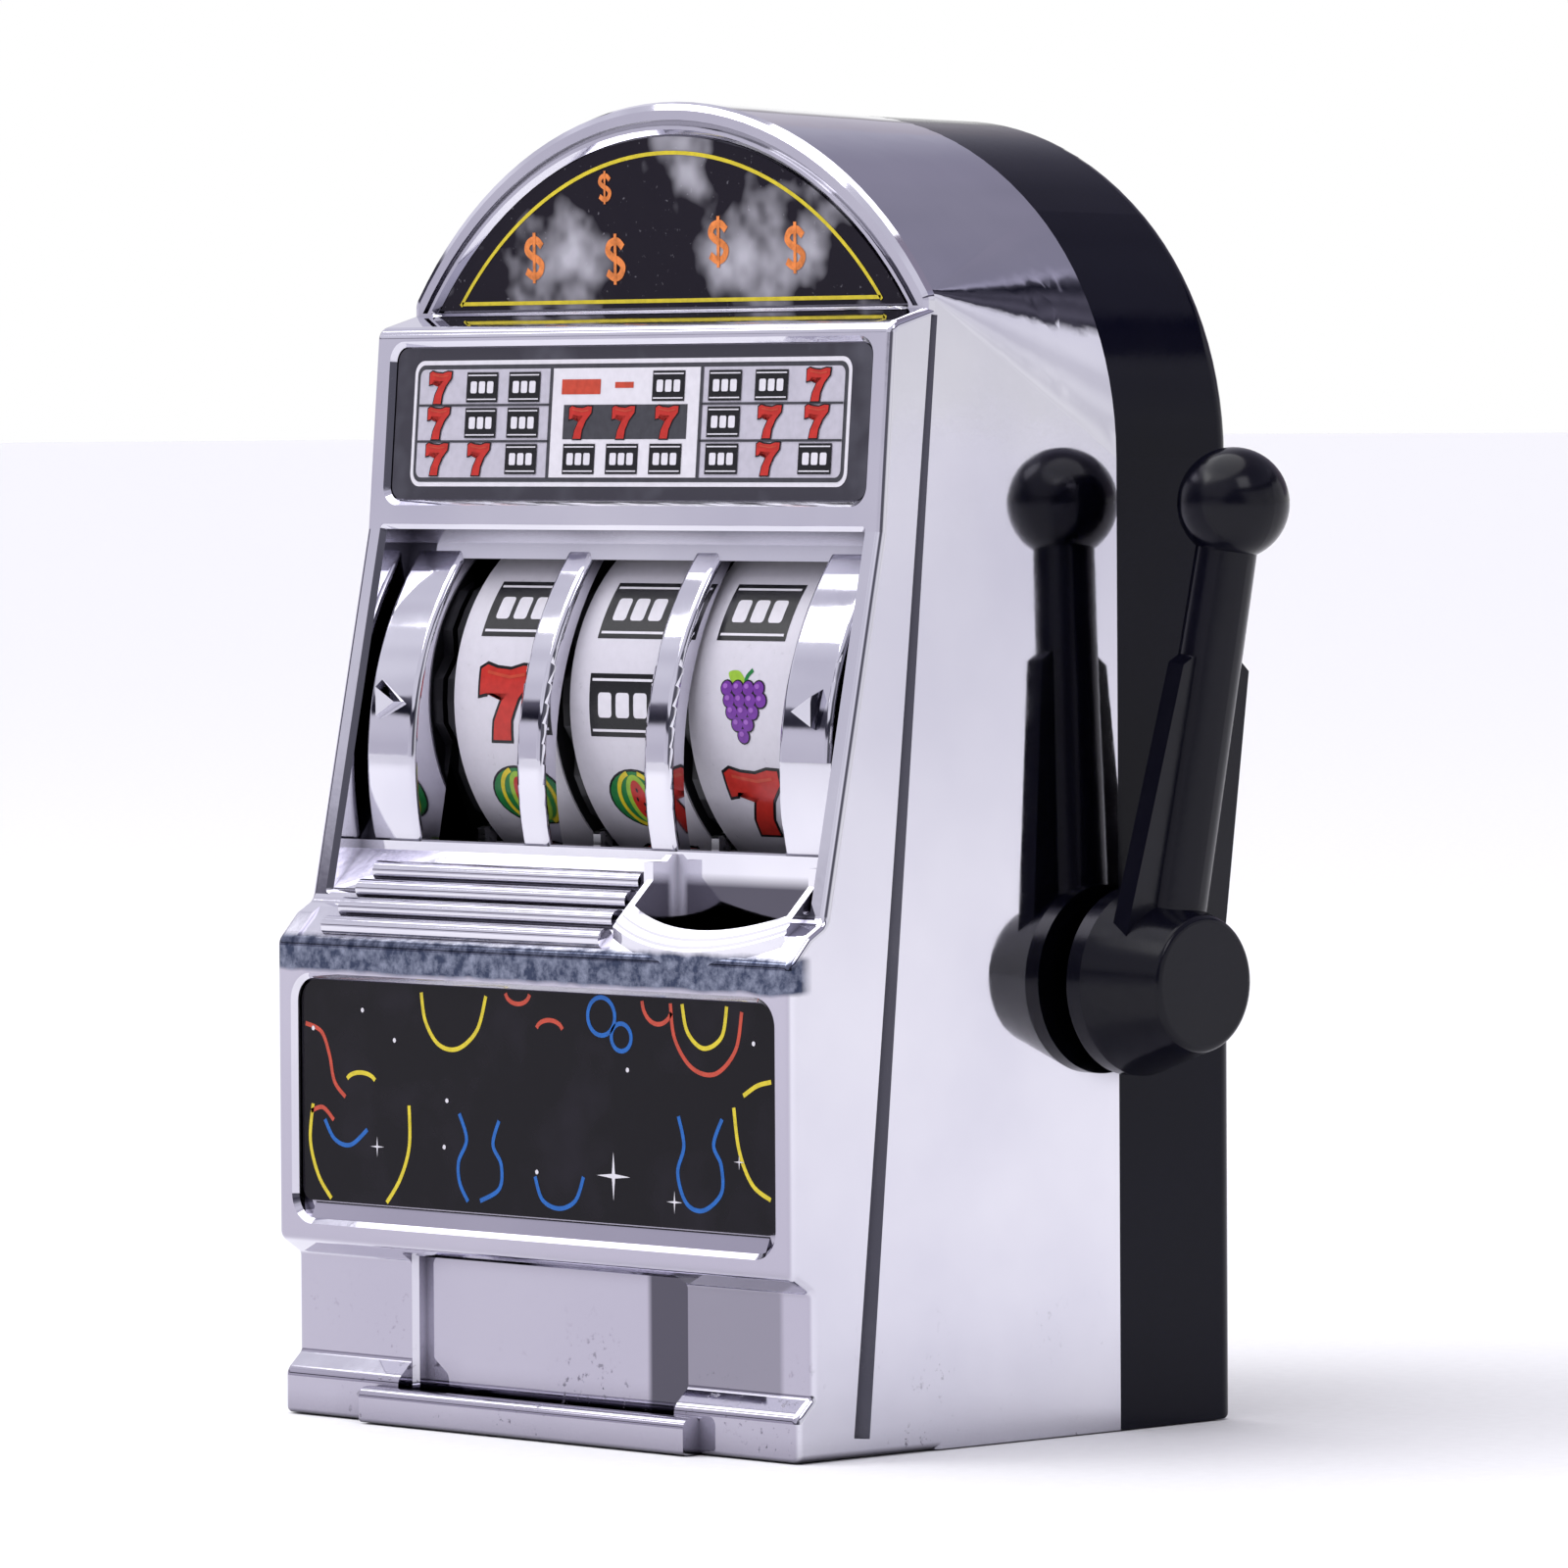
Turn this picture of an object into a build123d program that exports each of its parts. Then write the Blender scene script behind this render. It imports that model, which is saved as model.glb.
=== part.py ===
from build123d import *
import os
from math import atan2, cos, hypot, radians, sin, sqrt

# A desk-top toy slot machine: a plated front shell and a black rear shell that meet at a
# seam, three printed reels on one axle, and a pull lever on the right-hand side.
# Millimetres. Front faces -Y, +X is the lever side, +Z is up, and the origin is the middle
# of the resting face.

# ---- cabinet ----
HEIGHT = 88.0
WIDTH = 50.0
DEPTH = 41.5
HALF = WIDTH / 2
FRONT = -21.0                # front face of the belly panel
SEAM = FRONT + 30.1          # plane where the two shells meet
BACK = FRONT + DEPTH
WALL = 1.4
INNER = HALF - WALL
FLOOR = 1.6

# ---- arch: one low arc at the front ring that becomes a rounder arc at the seam ----
RING = FRONT + 12.8          # front face of the arch
RING_CROWN, RING_CORNER = 30.4, 1.2
SEAM_TOP, SEAM_CROWN, SEAM_CORNER = HEIGHT - 0.65, 26.5, 22.0
BACK_TOP, BACK_HALF = HEIGHT - 0.9, HALF - 0.25

# ---- front profile, as (distance behind the belly face, height) ----
FOOT_FRONT, FOOT_TOP = 0.45, 2.9
KICK_BACK, KICK_LOW, KICK_HIGH = 1.75, 4.1, 10.75
BELLY_LOW, BELLY_TOP = 11.9, 32.0
CHEEK_LOW = (3.1, 34.6)      # foot of the sloping side cheeks
CHEEK_TOP = (8.35, 59.6)     # top of the reel panel
CARD_TOP = (9.45, 73.1)      # top of the pay-table panel
LEDGE_HEIGHT = 74.2

EDGE = 0.5                   # rounding of the long side edges
BAR_EDGE = 0.45              # rounding of the window bars
RIM = 0.35                   # bevel round each recess
RING_EDGE = [(0.0, 0.55), (0.16, 0.16), (0.55, 0.0)]     # rounding of the arch edge: (depth, inset)

# ---- panel recesses ----
STRIP_HALF = 23.2            # half the width between the side strips
BELLY_CARD = (46.4, 16.2, 21.4)      # recess width, height and centre height
BELLY_DEEP, BELLY_STRIP = 0.9, 1.1   # recess depth, height of the sloping strip under the label
KICK_HALF, KICK_DEEP = 13.1, 1.0
TRAY_HALF, TRAY_FRONT, TRAY_LIP, TRAY_FLOOR, TRAY_WALL = 15.8, -1.0, 2.4, 1.4, 1.5
SHELF_FOOT = (0.5, 32.3)
SHELF_TOP = (6.2, 38.0)
RIB_R = 0.7
CUP_FLOOR = 32.7
CUP_RIM = [(1.0, 0.0), (0.85, 0.22), (0.55, 0.42)]      # rounding of the cup's rim: (outwards, up)
WINDOW_DEEP = 2.7
WINDOW_LOW, WINDOW_HIGH = 38.7, 57.6
WINDOW_HALF = 17.7
CARD_SIZE = (46.2, 10.4)
CARD_DEEP, CARD_THICK = 0.7, 0.3
MARQUEE_R, MARQUEE_BASE, MARQUEE_DEEP = 28.2, 74.25, 0.6
RING_GROOVE = (29.0, 0.4, 0.35)      # fine groove round the marquee: radius, width, depth

# ---- reels ----
AXLE_Y, AXLE_Z, AXLE_R = FRONT + 21.2, 48.0, 1.0
REEL_PITCH, REEL_HALF, REEL_R = 11.5, 5.0, 12.5
STRIP_THICK = 0.12
STOPS = 12                   # stopping places round a reel
RATCHET_R, NOTCH_R, RATCHET_WIDE = 12.3, 11.6, 0.95
HUB_HALF = 5.3
REELS = {"left": -REEL_PITCH, "centre": 0.0, "right": REEL_PITCH}

# ---- lever ----
SHAFT_Y, SHAFT_Z, SHAFT_R = SEAM, 29.8, 1.5
NECK_R = 3.0
HUB_FACE, HUB_END = HALF + 1.3, HALF + 7.9
HUB_R, CAP_R = 6.25, 4.4
BALL = (HALF + 7.85, FRONT + 33.0, 61.2)
BALL_R = 3.7
ARM_R = 2.05

# ---- mechanism frame ----
CHEEK_IN, CHEEK_OUT = 17.7, 19.1
FRAME_FRONT = FRONT + 12.0
FRAME_SCREW_Z, FRAME_SCREW_X = 20.2, 13.0
REAR_SCREWS = [(19.5, 8.0), (12.5, 78.0)]
BOSS_R, BORE_R = 2.4, 0.95
FIT = 0.06                   # radial clearance of running fits

# ---- return spring: runs straight down from the kicker's tail to the frame's bracket ----
SPRING_X, SPRING_Y = 10.2, FRONT + 35.5
SPRING_LOW, SPRING_HIGH = 13.9, 28.2
WIRE_R, COIL_R, COIL_TURNS = 0.2, 1.5, 12


def side_prism(points, x_low, x_high):
    """Extrude a closed (y, z) outline along X."""
    face = make_face(Plane.YZ.offset(x_low) * Polyline(*points, close=True))
    return extrude(face, x_high - x_low, dir=(1, 0, 0))


def front_plane(y):
    """Plane that faces the front: local x is X, local y is Z and local z is outwards."""
    return Plane(origin=(0, y, 0), x_dir=(1, 0, 0), z_dir=(0, -1, 0))


def front_prism(sketch, y_low, y_high):
    """Extrude an (x, z) sketch backwards, from one depth to another."""
    return extrude(front_plane(y_low) * sketch, y_high - y_low, dir=(0, 1, 0))


def block(x, y, z):
    """A box from three (low, high) pairs."""
    size = [b - a for a, b in (x, y, z)]
    centre = [(a + b) / 2 for a, b in (x, y, z)]
    return Pos(*centre) * Box(*size)


def rod_x(radius, x_low, x_high, y, z):
    return Pos((x_low + x_high) / 2, y, z) * Rot(0, 90, 0) * Cylinder(radius, x_high - x_low)


def rod_y(radius, y_low, y_high, x, z):
    return Pos(x, (y_low + y_high) / 2, z) * Rot(90, 0, 0) * Cylinder(radius, y_high - y_low)


def arch_face(y, half, top, crown, corner, low=0.0):
    """Cabinet cross-section: straight sides, a corner arc each side and one crown arc."""
    centre = top - crown
    corner_x = half - corner
    rise = sqrt((crown - corner) ** 2 - corner_x**2)
    corner_z = centre + rise
    tangent = atan2(rise, corner_x)
    end = (crown * cos(tangent), centre + crown * sin(tangent))
    mid = (corner_x + corner * cos(tangent / 2), corner_z + corner * sin(tangent / 2))
    outline = [
        Line((-half, low), (half, low)),
        Line((half, low), (half, corner_z)),
        ThreePointArc((half, corner_z), mid, end),
        ThreePointArc(end, (0, top), (-end[0], end[1])),
        ThreePointArc((-end[0], end[1]), (-mid[0], mid[1]), (-half, corner_z)),
        Line((-half, corner_z), (-half, low)),
    ]
    return front_plane(y) * make_face(outline)


def rounded_face(corners):
    """Closed outline from (across, up, corner radius) triples."""
    face = make_face(Polyline(*[(across, up) for across, up, _ in corners], close=True))
    for across, up, radius in corners:
        if radius:
            face = fillet(face.vertices().sort_by_distance((across, up, 0))[0], radius)
    return face


def mouth(sketch, rim, reach=0.5):
    """Cutting tool that bevels the edge of an opening outwards by rim."""
    wide = offset(sketch, rim)
    return extrude(wide, -rim, taper=45) + extrude(wide, reach)


def recess(sketch, depth, rim, reach=1.0):
    """Cutting tool for a recess with a bevelled edge; local +Z is outwards."""
    return extrude(sketch, -depth) + mouth(sketch, rim, reach)


def seam_face(y, inset=0.0, low=0.0):
    return arch_face(y, HALF - inset, SEAM_TOP - inset, SEAM_CROWN - inset, SEAM_CORNER - inset, low)


def panel_plane(depth, low, high):
    """Plane on a sloping front panel: local x is X, local y runs up the slope."""
    slope = Vector(0, high[0] - low[0], high[1] - low[1]).normalized()
    inward = Vector(0, slope.Z, -slope.Y)
    start = Vector(0, FRONT + low[0], low[1])
    return Plane(origin=start + inward * depth, x_dir=(1, 0, 0), z_dir=-inward)


REEL_SLOPE = (CHEEK_TOP[0] - CHEEK_LOW[0]) / (CHEEK_TOP[1] - CHEEK_LOW[1])
PANEL_LENGTH = hypot(CARD_TOP[0] - CHEEK_TOP[0], CARD_TOP[1] - CHEEK_TOP[1])


def reel_panel_y(z, depth=0.0):
    """Depth of the reel panel's plane at a height, moved inwards by a perpendicular depth."""
    return FRONT + CHEEK_LOW[0] + (z - CHEEK_LOW[1]) * REEL_SLOPE + depth * hypot(1, REEL_SLOPE)


def front_body():
    """Outer form of the front shell, solid."""
    behind = RING - FRONT + RING_EDGE[-1][0] + 0.05
    profile = [
        (FOOT_FRONT, 0, 0.3), (FOOT_FRONT, FOOT_TOP, 0.9), (KICK_BACK, KICK_LOW, 0.4),
        (KICK_BACK, KICK_HIGH, 0.5), (0, BELLY_LOW, 0.8), (0, BELLY_TOP, 0.9), (1.7, 33.8, 0.6),
        (*CHEEK_LOW, 0.9), (*CHEEK_TOP, 0),
        (*CARD_TOP, 0.9), (behind, LEDGE_HEIGHT, 0), (behind, 0, 0),
    ]
    outline = rounded_face([(FRONT + y, z, radius) for y, z, radius in profile])
    nose = extrude(Plane.YZ.offset(-HALF) * outline, WIDTH, dir=(1, 0, 0))
    rims = [e for e in nose.edges() if abs(abs(e.center().X) - HALF) < 0.01]
    nose = fillet([e for e in rims if e.center().Y < RING - 1 and e.center().Z > 0.5], EDGE)
    sections = [arch_face(RING + depth, HALF - inset, HEIGHT - inset, RING_CROWN - inset, RING_CORNER - inset)
                for depth, inset in RING_EDGE]
    return nose + loft(sections + [seam_face(SEAM)], ruled=True)


def front_cavity():
    """Space inside the front shell."""
    behind_ring = RING - FRONT + MARQUEE_DEEP + 1.0
    profile = [
        (4.1, FLOOR), (4.1, 12.4), (2.2, 13.2), (2.2, 31.0), (8.0, 37.3), (12.3, 59.4),
        (11.4, 61.0), (12.0, 72.2), (behind_ring, 72.8), (behind_ring, FLOOR),
    ]
    nose = side_prism([(FRONT + y, z) for y, z in profile], -INNER, INNER)
    start = FRONT + behind_ring - 0.01
    ring = arch_face(start, INNER, HEIGHT - WALL, RING_CROWN - WALL, 0.4, FLOOR)
    return nose + loft([ring, seam_face(SEAM + 0.01, WALL, FLOOR)], ruled=True)


def cup_plan(grow):
    """Plan of the coin cup: square at the back, bowed at the front."""
    left, right = 8.0 - grow, STRIP_HALF
    back, side, bow = SHELF_TOP[0] + 0.2, 2.3 - grow, 0.9 - grow
    outline = [
        Line((left, FRONT + back), (right, FRONT + back)),
        Line((right, FRONT + back), (right, FRONT + side)),
        ThreePointArc((right, FRONT + side), ((left + right) / 2, FRONT + bow), (left, FRONT + side)),
        Line((left, FRONT + side), (left, FRONT + back)),
    ]
    return make_face(outline)


def reel_bar(x_low, x_high, solid):
    """One bowed bar of the window; a solid one is filled down to the window plate."""
    low, high = WINDOW_LOW - 0.5, WINDOW_HIGH + 0.5
    middle = (low + high) / 2
    foot = (reel_panel_y(low, WINDOW_DEEP), low)
    head = (reel_panel_y(high, WINDOW_DEEP), high)
    crest = (reel_panel_y(middle, 0.35), middle)
    if solid:
        inner = [Line(head, (head[0] + 1.2, high)), Line((head[0] + 1.2, high), (foot[0] + 1.2, low)),
                 Line((foot[0] + 1.2, low), foot)]
    else:
        back = 1.35
        inner = [
            Line(head, (head[0] + back, high)),
            ThreePointArc((head[0] + back, high), (crest[0] + back, middle), (foot[0] + back, low)),
            Line((foot[0] + back, low), foot),
        ]
    face = make_face([ThreePointArc(foot, crest, head)] + inner)
    bar = extrude(Plane.YZ.offset(x_low) * face, x_high - x_low, dir=(1, 0, 0))
    return fillet(bar.edges().filter_by(GeomType.CIRCLE).sort_by(Axis.Y)[:2], BAR_EDGE)


def pay_arrow(side):
    """Raised triangle on a wide bar that points at the pay line."""
    z, tip, tail = AXLE_Z, WINDOW_HALF + 0.8, WINDOW_HALF + 3.8
    sketch = make_face(Polyline((side * tip, z), (side * tail, z + 1.6), (side * tail, z - 1.6), close=True))
    return extrude(front_plane(reel_panel_y(z, 0.9)) * sketch, 1.15, taper=18)


def side_groove(side):
    """Slanting groove down each side, from the arch to near the base."""
    top, foot = Vector(0, FRONT + 13.3, 73.6), Vector(0, FRONT + 6.2, 1.2)
    across = Vector(side * HALF, 0, 0)
    ends = []
    for point, size in ((top, 0.4), (foot, 1.0)):
        plane = Plane(origin=point + across, z_dir=foot - top, x_dir=(1, 0, 0))
        ends.append(plane * (Rot(0, 0, 45) * Rectangle(size, size)))
    return loft(ends)


def front_shell():
    shell = front_body() - front_cavity()
    # window, shelf and the strips beside them
    scoop = [
        (FRONT - 6, SHELF_FOOT[1]), (FRONT + SHELF_FOOT[0], SHELF_FOOT[1]),
        (FRONT + SHELF_TOP[0], SHELF_TOP[1]), (FRONT + SHELF_TOP[0], SHELF_TOP[1] + 0.6),
        (reel_panel_y(SHELF_TOP[1] + 0.6, WINDOW_DEEP), SHELF_TOP[1] + 0.6),
        (reel_panel_y(CHEEK_TOP[1], WINDOW_DEEP), CHEEK_TOP[1]), (FRONT - 6, CHEEK_TOP[1]),
    ]
    shell -= side_prism(scoop, -STRIP_HALF, STRIP_HALF)
    rise = hypot(CHEEK_TOP[0] - CHEEK_LOW[0], CHEEK_TOP[1] - CHEEK_LOW[1])
    opening = Pos(0, rise / 2 + 0.4) * Rectangle(2 * STRIP_HALF, rise - 0.8)
    shell -= panel_plane(0, CHEEK_LOW, CHEEK_TOP) * mouth(opening, RIM)
    shell -= block((-WINDOW_HALF, WINDOW_HALF), (FRONT + 5, FRONT + 16), (WINDOW_LOW, WINDOW_HIGH))
    for side in (-1, 1):
        low, high = sorted((side * WINDOW_HALF, side * 22.5))
        shell += reel_bar(low, high, True)
        shell += pay_arrow(side)
        shell += reel_bar(side * 6.2 - 1.3, side * 6.2 + 1.3, False)
    # shelf ribs
    slope = Vector(0, SHELF_TOP[0] - SHELF_FOOT[0], SHELF_TOP[1] - SHELF_FOOT[1]).normalized()
    for k in range(4):
        at = Vector(0, FRONT + SHELF_FOOT[0], SHELF_FOOT[1]) + slope * (1.0 + 1.7 * k)
        shell += rod_x(RIB_R, -21.0 + 0.4 * k, 6.4, at.Y, at.Z)
    # coin cup: a walled well sunk in the shelf
    for grow, lift in CUP_RIM:
        well = extrude(Plane.XY.offset(31.2) * cup_plan(grow), 9)
        rim = [(FRONT - 4, 31), (FRONT + SHELF_TOP[0] + 0.2, 31), (FRONT + SHELF_TOP[0] + 0.2, 38.0 + lift),
               (FRONT + SHELF_TOP[0] - 0.5, 38.0 + lift), (FRONT - 1.0, 31.7 + lift), (FRONT - 4, 31.7 + lift)]
        shell += well & side_prism(rim, 0, STRIP_HALF)
    shell += block((7.1, INNER), (FRONT + 4, FRONT + 7.6), (31.2, 38.0))
    pocket = extrude(Plane.XY.offset(CUP_FLOOR) * cup_plan(0.0), 12)
    shell -= pocket & block((0, STRIP_HALF - 0.6), (FRONT - 5, FRONT + SHELF_TOP[0]), (CUP_FLOOR, 46))
    # card recesses
    wide, tall, middle = BELLY_CARD
    belly = Pos(0, middle) * RectangleRounded(wide, tall, 1.6)
    shell -= front_plane(FRONT) * recess(belly, BELLY_DEEP, RIM)
    foot = middle - tall / 2
    strip = [(FRONT + 0.3, foot - 0.4), (FRONT + BELLY_DEEP, foot + BELLY_STRIP),
             (FRONT + 1.6, foot + BELLY_STRIP), (FRONT + 1.6, foot - 0.4)]
    shell += side_prism(strip, -wide / 2 + BELLY_STRIP, wide / 2 - BELLY_STRIP)
    card = Pos(0, PANEL_LENGTH / 2 + 0.4) * RectangleRounded(*CARD_SIZE, 1.0)
    shell -= panel_plane(0, CHEEK_TOP, CARD_TOP) * recess(card, CARD_DEEP, RIM)
    segment = Pos(0, HEIGHT - RING_CROWN) * Circle(MARQUEE_R) & Pos(0, MARQUEE_BASE + 20) * Rectangle(90, 40)
    shell -= front_plane(RING) * recess(segment, MARQUEE_DEEP, RIM, 0.2)
    radius, broad, deep = RING_GROOVE
    annulus = Pos(0, HEIGHT - RING_CROWN) * (Circle(radius + broad / 2) - Circle(radius - broad / 2))
    upper = Pos(0, LEDGE_HEIGHT + 20) * Rectangle(90, 40)
    shell -= front_plane(RING) * extrude(annulus & upper, -deep)
    # kick recess and pay tray
    kick = Pos(0, 6.0) * Rectangle(2 * KICK_HALF, 10.2)
    shell -= front_plane(FRONT + KICK_BACK) * recess(kick, KICK_DEEP, RIM, 4)
    lip = FRONT + TRAY_FRONT
    back = FRONT + KICK_BACK + KICK_DEEP + 0.1
    tray = rounded_face([(lip, 0, 0.3), (lip, TRAY_LIP, 0.7), (lip + TRAY_WALL, TRAY_LIP, 0.5),
                         (lip + TRAY_WALL, TRAY_FLOOR, 0.3), (back, TRAY_FLOOR, 0), (back, 0, 0)])
    shell += extrude(Plane.YZ.offset(-TRAY_HALF) * tray, 2 * TRAY_HALF, dir=(1, 0, 0))
    # grooves, lever opening and screw bosses
    for side in (-1, 1):
        shell -= side_groove(side)
        for x, z in REAR_SCREWS:
            start = FRONT + 3.5 if z < 40 else RING + MARQUEE_DEEP + 0.5
            shell += rod_y(BOSS_R, start, SEAM, side * x, z)
            shell -= rod_y(BORE_R, SEAM - 8, SEAM + 0.1, side * x, z)
        shell += rod_y(BOSS_R, FRONT + 1.8, FRAME_FRONT, side * FRAME_SCREW_X, FRAME_SCREW_Z)
        shell -= rod_y(BORE_R, FRONT + 4, FRAME_FRONT + 0.1, side * FRAME_SCREW_X, FRAME_SCREW_Z)
    shell -= rod_x(NECK_R + FIT, INNER - 1, HALF + 1, SHAFT_Y, SHAFT_Z)
    return shell


def rear_shell():
    back = arch_face(BACK, BACK_HALF, BACK_TOP, SEAM_CROWN - 0.25, SEAM_CORNER - 0.25)
    inner_back = arch_face(BACK - 1.6, BACK_HALF - WALL, BACK_TOP - WALL, SEAM_CROWN - 0.25 - WALL,
                           SEAM_CORNER - 0.25 - WALL, FLOOR)
    body = loft([seam_face(SEAM), back], ruled=True)
    body = fillet(body.faces().sort_by(Axis.Y)[-1].edges(), 1.5)
    shell = body - loft([seam_face(SEAM - 0.01, WALL, FLOOR), inner_back], ruled=True)
    for side in (-1, 1):
        for x, z in REAR_SCREWS:
            shell += rod_y(3.0, SEAM, BACK - 1.0, side * x, z)
            shell -= rod_y(2.2, SEAM + 2.0, BACK + 1, side * x, z)
            shell -= rod_y(1.15, SEAM - 1, SEAM + 3, side * x, z)
    return shell - rod_x(NECK_R + FIT, INNER - 1, HALF + 1, SHAFT_Y, SHAFT_Z)


def labels():
    wide, tall, middle = BELLY_CARD
    belly = Pos(0, middle + BELLY_STRIP / 2) * RectangleRounded(wide - 0.2, tall - 0.2 - BELLY_STRIP, 0.9)
    belly &= Pos(0, middle) * RectangleRounded(wide - 0.2, tall - 0.2, 1.5)
    belly = front_prism(belly, FRONT + BELLY_DEEP - CARD_THICK, FRONT + BELLY_DEEP)
    card = panel_plane(CARD_DEEP, CHEEK_TOP, CARD_TOP) * Pos(0, PANEL_LENGTH / 2 + 0.4)
    pay = extrude(card * RectangleRounded(CARD_SIZE[0] - 0.2, CARD_SIZE[1] - 0.2, 0.9), CARD_THICK)
    segment = (Pos(0, HEIGHT - RING_CROWN) * Circle(MARQUEE_R - 0.1)
               & Pos(0, MARQUEE_BASE + 20.1) * Rectangle(90, 40))
    marquee = front_prism(segment, RING + MARQUEE_DEEP - CARD_THICK, RING + MARQUEE_DEEP)
    return {"belly_label": belly, "paytable_label": pay, "marquee_label": marquee}


def ratchet(x):
    """Notched ring on the left face of a reel, one notch for each stopping place."""
    points = []
    for k in range(STOPS):
        for turn, radius in ((-7, RATCHET_R), (0, RATCHET_R), (7, RATCHET_R), (15, NOTCH_R)):
            angle = radians(360 / STOPS * k + turn)
            points.append((AXLE_Y + radius * cos(angle), AXLE_Z + radius * sin(angle)))
    return side_prism(points, x - REEL_HALF - RATCHET_WIDE, x - REEL_HALF)


def reel_drum(x):
    rim = rod_x(REEL_R, x - REEL_HALF, x + REEL_HALF, AXLE_Y, AXLE_Z) + ratchet(x)
    rim -= rod_x(REEL_R - 1.3, x - 8, x + 8, AXLE_Y, AXLE_Z)
    rim += rod_x(REEL_R - 1.2, x - 0.6, x + 0.6, AXLE_Y, AXLE_Z)
    rim += rod_x(2.4, x - HUB_HALF, x + HUB_HALF, AXLE_Y, AXLE_Z)
    return rim - rod_x(AXLE_R + FIT, x - 8, x + 8, AXLE_Y, AXLE_Z)


def reel_strip(x):
    outer = rod_x(REEL_R + STRIP_THICK, x - REEL_HALF + 0.1, x + REEL_HALF - 0.1, AXLE_Y, AXLE_Z)
    return outer - rod_x(REEL_R, x - 8, x + 8, AXLE_Y, AXLE_Z)


def reel_spacers():
    gap = REEL_PITCH - 2 * HUB_HALF
    places = [REEL_PITCH * (k - 1.5) for k in range(4)]
    rings = []
    for x in places:
        ring = rod_x(2.0, x - gap / 2 + 0.05, x + gap / 2 - 0.05, AXLE_Y, AXLE_Z)
        rings.append(ring - rod_x(AXLE_R + FIT, x - 2, x + 2, AXLE_Y, AXLE_Z))
    return Compound(rings)


def axle_clips():
    rings = []
    for side in (-1, 1):
        low, high = sorted((side * (CHEEK_OUT + 0.05), side * (CHEEK_OUT + 0.75)))
        rings.append(rod_x(2.1, low, high, AXLE_Y, AXLE_Z) - rod_x(AXLE_R + 0.01, -25, 25, AXLE_Y, AXLE_Z))
    return Compound(rings)


def mechanism_frame():
    plate_z = 24.3
    axle = Pos(AXLE_Y, AXLE_Z) * Circle(3.2)
    shaft = Pos(SHAFT_Y, SHAFT_Z) * Circle(3.6)
    foot = Pos(FRAME_FRONT + 3.0, FRAME_SCREW_Z) * Rectangle(6.0, 8.0)
    cheek = make_hull((axle + shaft).edges()) + make_hull((shaft + foot).edges())
    frame = None
    for side in (-1, 1):
        low = min(side * CHEEK_IN, side * CHEEK_OUT)
        plate = extrude(Plane.YZ.offset(low) * cheek, CHEEK_OUT - CHEEK_IN, dir=(1, 0, 0))
        frame = plate if frame is None else frame + plate
    frame += block((-CHEEK_OUT, CHEEK_OUT), (FRAME_FRONT, FRAME_FRONT + 1.3), (16.5, 27.0))
    frame += block((-CHEEK_OUT, CHEEK_OUT), (FRAME_FRONT, FRAME_FRONT + 14.0), (plate_z - 1.4, plate_z))
    bracket = [(12.5, plate_z - 0.2), (25, plate_z - 0.2), (32.8, 15.6), (36.9, 15.6), (36.9, 12.4),
               (33.0, 12.4), (12.5, 18.5)]
    frame += side_prism([(FRONT + y, z) for y, z in bracket], SPRING_X - 0.7, SPRING_X + 0.7)
    frame -= rod_x(0.55, SPRING_X - 2, SPRING_X + 2, SPRING_Y, SPRING_LOW)
    for side in (-1, 1):
        frame -= rod_y(1.2, FRAME_FRONT - 1, FRAME_FRONT + 3, side * FRAME_SCREW_X, FRAME_SCREW_Z)
    frame -= rod_x(AXLE_R + 0.02, -25, 25, AXLE_Y, AXLE_Z)
    return frame - rod_x(SHAFT_R + FIT, -25, 25, SHAFT_Y, SHAFT_Z)


def return_spring():
    eye = 1.3
    low, high = SPRING_LOW + 2 * eye, SPRING_HIGH - 2 * eye
    path = Helix(pitch=(high - low) / COIL_TURNS, height=high - low, radius=COIL_R)
    section = Plane(origin=path @ 0, z_dir=path % 0) * Circle(WIRE_R)
    coil = Pos(SPRING_X, SPRING_Y, low) * sweep(section, path=path)
    for z in (low - eye, high + eye):
        coil += Pos(SPRING_X, SPRING_Y, z) * Rot(90, 0, 0) * Torus(eye, WIRE_R)
    for z in (low, high):
        coil += Pos(SPRING_X + COIL_R / 2, SPRING_Y, z) * Rot(0, 90, 0) * Cylinder(WIRE_R, COIL_R + 0.2)
    return coil


def detent_spring():
    """Comb of three leaf fingers whose noses sit in the ratchet notches."""
    inward = Vector(0, cos(radians(45)), sin(radians(45)))
    across = Vector(0, -inward.Z, inward.Y)
    centre = Vector(0, AXLE_Y, AXLE_Z)
    tip = centre - inward * (NOTCH_R + 0.15)
    foot = centre - inward * (RATCHET_R + 0.75)
    leaf_y, thick = foot.Y - 0.25, 0.4
    corners = [tip, foot + across * 0.8, foot - across * 0.8]
    nose = [(v.Y, v.Z) for v in corners]
    strip = [(FRAME_FRONT - thick, 24.8), (FRAME_FRONT - thick, 28.0), (leaf_y - thick / 2, 36.0),
             (leaf_y - thick / 2, foot.Z + 0.5), (leaf_y + thick / 2, foot.Z + 0.5), (leaf_y + thick / 2, 36.0),
             (FRAME_FRONT, 28.0), (FRAME_FRONT, 24.8)]
    comb = block((-CHEEK_OUT + 1, CHEEK_OUT - 1), (FRAME_FRONT - thick, FRAME_FRONT), (24.6, 27.0))
    for x in REELS.values():
        low, high = x - REEL_HALF - RATCHET_WIDE + 0.1, x - REEL_HALF - 0.15
        comb += side_prism(strip, low, high) + side_prism(nose, low, high)
    return comb


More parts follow.
